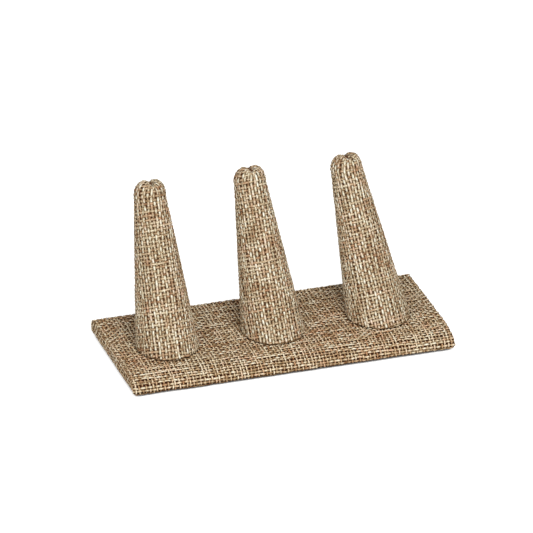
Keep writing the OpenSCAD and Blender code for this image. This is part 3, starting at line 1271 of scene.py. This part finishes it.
@dataclass(frozen=True)
class PlainFinish:
    """A mottled finish for the pieces that are not yarn.

    Attributes:
        name: Name of the finish.
        dark: Darker colour.
        light: Lighter colour.
        scale: Size of the mottling, in marks a metre.
        stretch: How much longer the marks are along X.
        roughness: Roughness.
        relief: Depth of the grain, in millimetres.
        metallic: 1 for bare metal.
        specular: Strength of the shine, 0.5 for most matter.
    """

    name: str
    dark: tuple[float, float, float]
    light: tuple[float, float, float]
    scale: float
    stretch: float = 1.0
    roughness: float = 0.8
    relief: float = 0.1
    metallic: float = 0.0
    specular: float = 0.5

    def material(self) -> bpy.types.Material:
        """Builds the material.

        Returns:
            The material.
        """
        material, nodes, shader = new_material(self.name, self.roughness)
        place = nodes.add("ShaderNodeTexCoord").outputs["Object"]
        mapped = nodes.add("ShaderNodeMapping", {"Vector": place, "Scale": (1 / self.stretch, 1, 1)})
        grain = nodes.noise(mapped.outputs[0], self.scale, 6.0, 0.65)
        nodes.feed(shader, {"Base Color": nodes.mix(grain, rgba(self.dark), rgba(self.light)),
                            "Normal": nodes.bump(grain, 0.6, self.relief),
                            "Metallic": self.metallic, "Specular IOR Level": self.specular})
        return material


# dip and flank set how deep each yarn's painted shade is where it dives and on its flanks.
MAIN_YARN = YarnFinish("main burlap yarn", dark=(170, 130, 88), body=(229, 213, 175),
                       light=(253, 251, 231), lightness=0.12, dip=0.56, flank=0.12, own=0.26)
CROSS_YARN = YarnFinish("cross burlap yarn", dark=(152, 108, 70), body=(222, 197, 155),
                        light=(253, 246, 221), lightness=0.13, dip=0.56, flank=0.15, own=0.44)
SLEEVE_MAIN_YARN = YarnFinish("sleeve main yarn", dark=(166, 137, 102), body=(225, 220, 192),
                              light=(252, 254, 240), lightness=0.04, dip=0.35, flank=0.3)
SLEEVE_CROSS_YARN = YarnFinish("sleeve cross yarn", dark=(144, 111, 80), body=(207, 189, 155),
                               light=(237, 230, 204), lightness=0.02, dip=0.45, flank=0.15)
# The ground sheets back the yarns, and their dark colours are painted shade for the gaps between the yarns.
GAP_SHADE_GROUND = PlainFinish("dark backing with painted gap shade", dark=(44, 18, 8), light=(72, 34, 16), scale=900, specular=0.05)
SLEEVE_GAP_SHADE_GROUND = PlainFinish("brown backing with painted gap shade", dark=(78, 46, 28), light=(108, 70, 46), scale=900,
                            specular=0.05)
BOARD = PlainFinish("pressed fibreboard", dark=(132, 100, 66), light=(176, 142, 100), scale=1400)
CORE = PlainFinish("turned softwood", dark=(178, 138, 92), light=(222, 190, 146), scale=260, stretch=0.2)
CARD = PlainFinish("black grained card", dark=(18, 17, 16), light=(42, 40, 38), scale=1100, roughness=0.7)
STEEL = PlainFinish("zinc plated steel", dark=(150, 152, 156), light=(206, 208, 212), scale=700,
                    roughness=0.35, relief=0.02, metallic=1.0)


@dataclass(frozen=True)
class Lamp:
    """A soft square lamp that faces the stand.

    Attributes:
        name: Its name.
        place: Where it stands, in metres.
        size: Its width, in metres.
        power: Its power, in watts.
    """

    name: str
    place: tuple[float, float, float]
    size: float
    power: float

    def light(self) -> None:
        """Puts the lamp into the scene."""
        data = bpy.data.lights.new(self.name, "AREA")
        data.size, data.energy = self.size, self.power
        lamp = new_object(self.name, data)
        lamp.location = self.place
        lamp.rotation_euler = (Vector((0, 0, 0.03)) - lamp.location).to_track_quat("-Z", "Y").to_euler()


@dataclass(frozen=True)
class Studio:
    """Floor, backdrop, lights and camera.

    Attributes:
        photo_pixels: Width of the photograph's frame, in pixels.
        focal_pixels: Focal length, in the same pixels.
        azimuth: Angle of the camera round the stand, in degrees.
        elevation: Angle of the camera above the floor, in degrees.
        distance: Distance of the camera from the aim, in metres.
        aim_right: Place that the camera looks at, in metres to its right of the origin.
        aim_up: The same, upwards across its line of sight.
        floor_size: Half the width of the floor, in metres.
        floor_shade: How much of the lamps' light the floor gives back.
        floor_glow: How bright the camera sees the open floor by itself.
        contact_reach: Distance from which the stand paints a contact shadow on the floor, in millimetres.
        contact_levels: Open shares at which the painted contact shadow on the floor is full and gone.
        sky: Strength of the light from the surroundings, which the camera sees at full strength.
        lamps: The lamps.
    """

    photo_pixels: float = 533.0
    focal_pixels: float = 7000.0
    azimuth: float = -18.04
    elevation: float = 26.44
    distance: float = 3.136
    aim_right: float = -0.00284
    aim_up: float = 0.03392
    floor_size: float = 6.0
    floor_shade: float = 0.6
    floor_glow: float = 0.78
    contact_reach: float = 3.0
    contact_levels: tuple[float, float] = (0.2, 0.45)
    sky: float = 0.35
    lamps: tuple[Lamp, ...] = (Lamp("key", (0.0, -1.15, 1.3), 0.7, 20.5),
                               Lamp("fill", (-0.9, -1.1, 0.6), 0.9, 8.2))

    def camera(self) -> None:
        """Makes the camera."""
        turn, rise = math.radians(self.azimuth), math.radians(self.elevation)
        back = Vector((math.sin(turn) * math.cos(rise), -math.cos(turn) * math.cos(rise), math.sin(rise)))
        right = Vector((math.cos(turn), math.sin(turn), 0.0))
        up = back.cross(right)
        data = bpy.data.cameras.new("camera")
        data.sensor_width = 36.0
        data.lens = self.focal_pixels / self.photo_pixels * data.sensor_width
        data.clip_end = 50.0
        camera = new_object("camera", data)
        place = right * self.aim_right + up * self.aim_up + back * self.distance
        camera.matrix_world = Matrix.Translation(place) @ Matrix((right, up, back)).transposed().to_4x4()
        bpy.context.scene.camera = camera

    @staticmethod
    def seen(nodes: NodeTree) -> Socket:
        """Tells rays that show the surroundings from rays that light the stand.

        Args:
            nodes: The tree of a material or of the world.

        Returns:
            A socket that is 1 for rays from the camera, mirrors and glass.
        """
        path = nodes.add("ShaderNodeLightPath").outputs
        mirrored = nodes.math("MAXIMUM", path["Is Glossy Ray"], path["Is Transmission Ray"])
        return nodes.math("MAXIMUM", path["Is Camera Ray"], mirrored)

    def floor(self) -> None:
        """Makes the pale floor, with a contact shadow painted round the stand."""
        material, nodes, shader = new_material("pale floor", 0.9)
        # Ambient occlusion takes the glow away near the stand, which paints a contact shadow; the floor's own
        # lit shade shows there.
        near = nodes.add("ShaderNodeAmbientOcclusion", {"Distance": self.contact_reach * MM}).outputs["AO"]
        clear = nodes.fit(near, *self.contact_levels, end=self.floor_glow)
        nodes.feed(shader, {"Base Color": (self.floor_shade, self.floor_shade, self.floor_shade, 1),
                            "Emission Color": (1, 1, 1, 1),
                            "Emission Strength": nodes.math("MULTIPLY", self.seen(nodes), clear)})
        size = self.floor_size
        mesh = bpy.data.meshes.new("floor")
        corners = [(-size, -size, 0), (size, -size, 0), (size, size, 0), (-size, size, 0)]
        mesh.from_pydata(corners, [], [(0, 1, 2, 3)])
        mesh.materials.append(material)
        new_piece("floor", mesh)

    def world(self) -> None:
        """Makes the white surroundings."""
        world = bpy.data.worlds.new("studio")
        world.use_nodes = True
        bpy.context.scene.world = world
        nodes = NodeTree(world.node_tree)
        strength = nodes.math("MULTIPLY_ADD", self.seen(nodes), 1 - self.sky, self.sky)
        nodes.feed(world.node_tree.nodes["Background"], {"Color": (1, 1, 1, 1), "Strength": strength})

    def build(self) -> None:
        """Sets up the whole studio."""
        bpy.context.scene.view_settings.view_transform = "Standard"
        self.camera()
        self.floor()
        self.world()
        for lamp in self.lamps:
            lamp.light()
        LOG.info("studio ready")


@dataclass(frozen=True)
class Cloth:
    """One kind of cloth with its finishes.

    Attributes:
        weave: Sizes of the cloth.
        yarns: Material of each set of yarns.
        ground: Material of the sheet between them, dark with painted shade for the gaps.
    """

    weave: Weave
    yarns: dict[YarnSet, bpy.types.Material]
    ground: bpy.types.Material


class Stand:
    """The dressed ring display stand.

    Attributes:
        FINGERS: Place from left to right and lean to the right of each finger.
        CURL: Dents in the right tip, where a fold of cloth curls out.
        FAN_SHARE: Share of its rectangle that a sleeve, cut as a fan, takes.
    """

    FINGERS = {"left": (-50.9, -0.8), "middle": (-1.4, -3.2), "right": (48.1, -6.7)}
    CURL = (Dent((0.28, -0.66, 0.69), -0.35, 2.4), Dent((0.28, -0.66, 0.69), 2.0, 0.85),
            Dent((0.22, -0.52, 0.83), 0.8, 0.7))
    FAN_SHARE = 0.75

    def __init__(self) -> None:
        """Makes the shared sweep and the two kinds of cloth."""
        weave = Weave()
        sleeve = replace(weave, main_width=1.28, cross_width=1.14, wander=0.2, spread=0.05,
                         main_rise=0.18, cross_rise=0.22)
        self.sweep = YarnSweep(weave)
        self.cloth = self._cloth(weave, MAIN_YARN, CROSS_YARN, GAP_SHADE_GROUND)
        self.sleeve = self._cloth(sleeve, SLEEVE_MAIN_YARN, SLEEVE_CROSS_YARN, SLEEVE_GAP_SHADE_GROUND)

    @staticmethod
    def _cloth(weave: Weave, main: YarnFinish, cross: YarnFinish, ground: PlainFinish) -> Cloth:
        """Makes one kind of cloth from its weave and finishes."""
        yarns = {YarnSet.MAIN: main.material(), YarnSet.CROSS: cross.material()}
        return Cloth(weave, yarns, ground.material())

    def dress(self, cover: BoardWrap | FingerSleeve, cloth: Cloth, node: str,
              seed: int) -> tuple[bpy.types.Object, list[bpy.types.Object]]:
        """Covers one CAD cover with its ground sheet and its yarns.

        Args:
            cover: The cloth's map.
            cloth: The cloth.
            node: The CAD node that it stands for.
            seed: Seed of the yarns.

        Returns:
            The ground sheet and the yarn pieces.
        """
        sheet = cover.ground(cloth.ground)
        pieces = []
        for own_seed, yarns in enumerate(YarnSet, seed):
            name = f"{node}_{yarns.value}_yarns"
            guides = cover.guides(yarns, own_seed)
            pieces.append(self.sweep.run(guides, name, own_seed, cloth.yarns[yarns]))
        for piece in [sheet, *pieces]:
            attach(piece, BODY)
            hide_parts(node)
        return sheet, pieces

    def base(self) -> None:
        """Dresses the base."""
        cover = BoardWrap(self.cloth.weave)
        sheet, pieces = self.dress(cover, self.cloth, "base_cover", 10)
        cover.flat_size()
        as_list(pieces)

    def fingers(self) -> None:
        """Dresses the three fingers."""
        for number, (name, (x, lean)) in enumerate(self.FINGERS.items()):
            dents = self.CURL if name == "right" else ()
            cover = FingerSleeve(self.sleeve.weave, name, x, lean, dents=dents)
            sheet, pieces = self.dress(cover, self.sleeve, f"finger_cover_{name}", 20 + 10 * number)
            flat = cover.flat_size()
            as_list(pieces)

    def hidden_parts(self) -> None:
        """Gives the board, cores, card and screws their finishes."""
        finishes = {"base_board": BOARD, "bottom_liner": CARD, "finger_screws": STEEL,
                    "finger_core_left": CORE, "finger_core_middle": CORE, "finger_core_right": CORE}
        made = {finish: finish.material() for finish in dict.fromkeys(finishes.values())}
        for node, finish in finishes.items():
            bpy.data.objects[node].material_slots[0].material = made[finish]
            LOG.info("%s: %s", node, finish.name)

    def build(self) -> None:
        """Dresses the whole stand."""
        self.base()
        self.fingers()
        self.hidden_parts()


def main() -> None:
    """Builds the stand and its studio."""
    logging.basicConfig(level=logging.INFO, format="%(name)s: %(message)s")
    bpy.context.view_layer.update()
    Studio().build()
    Stand().build()


if __name__ == "__main__":
    main()
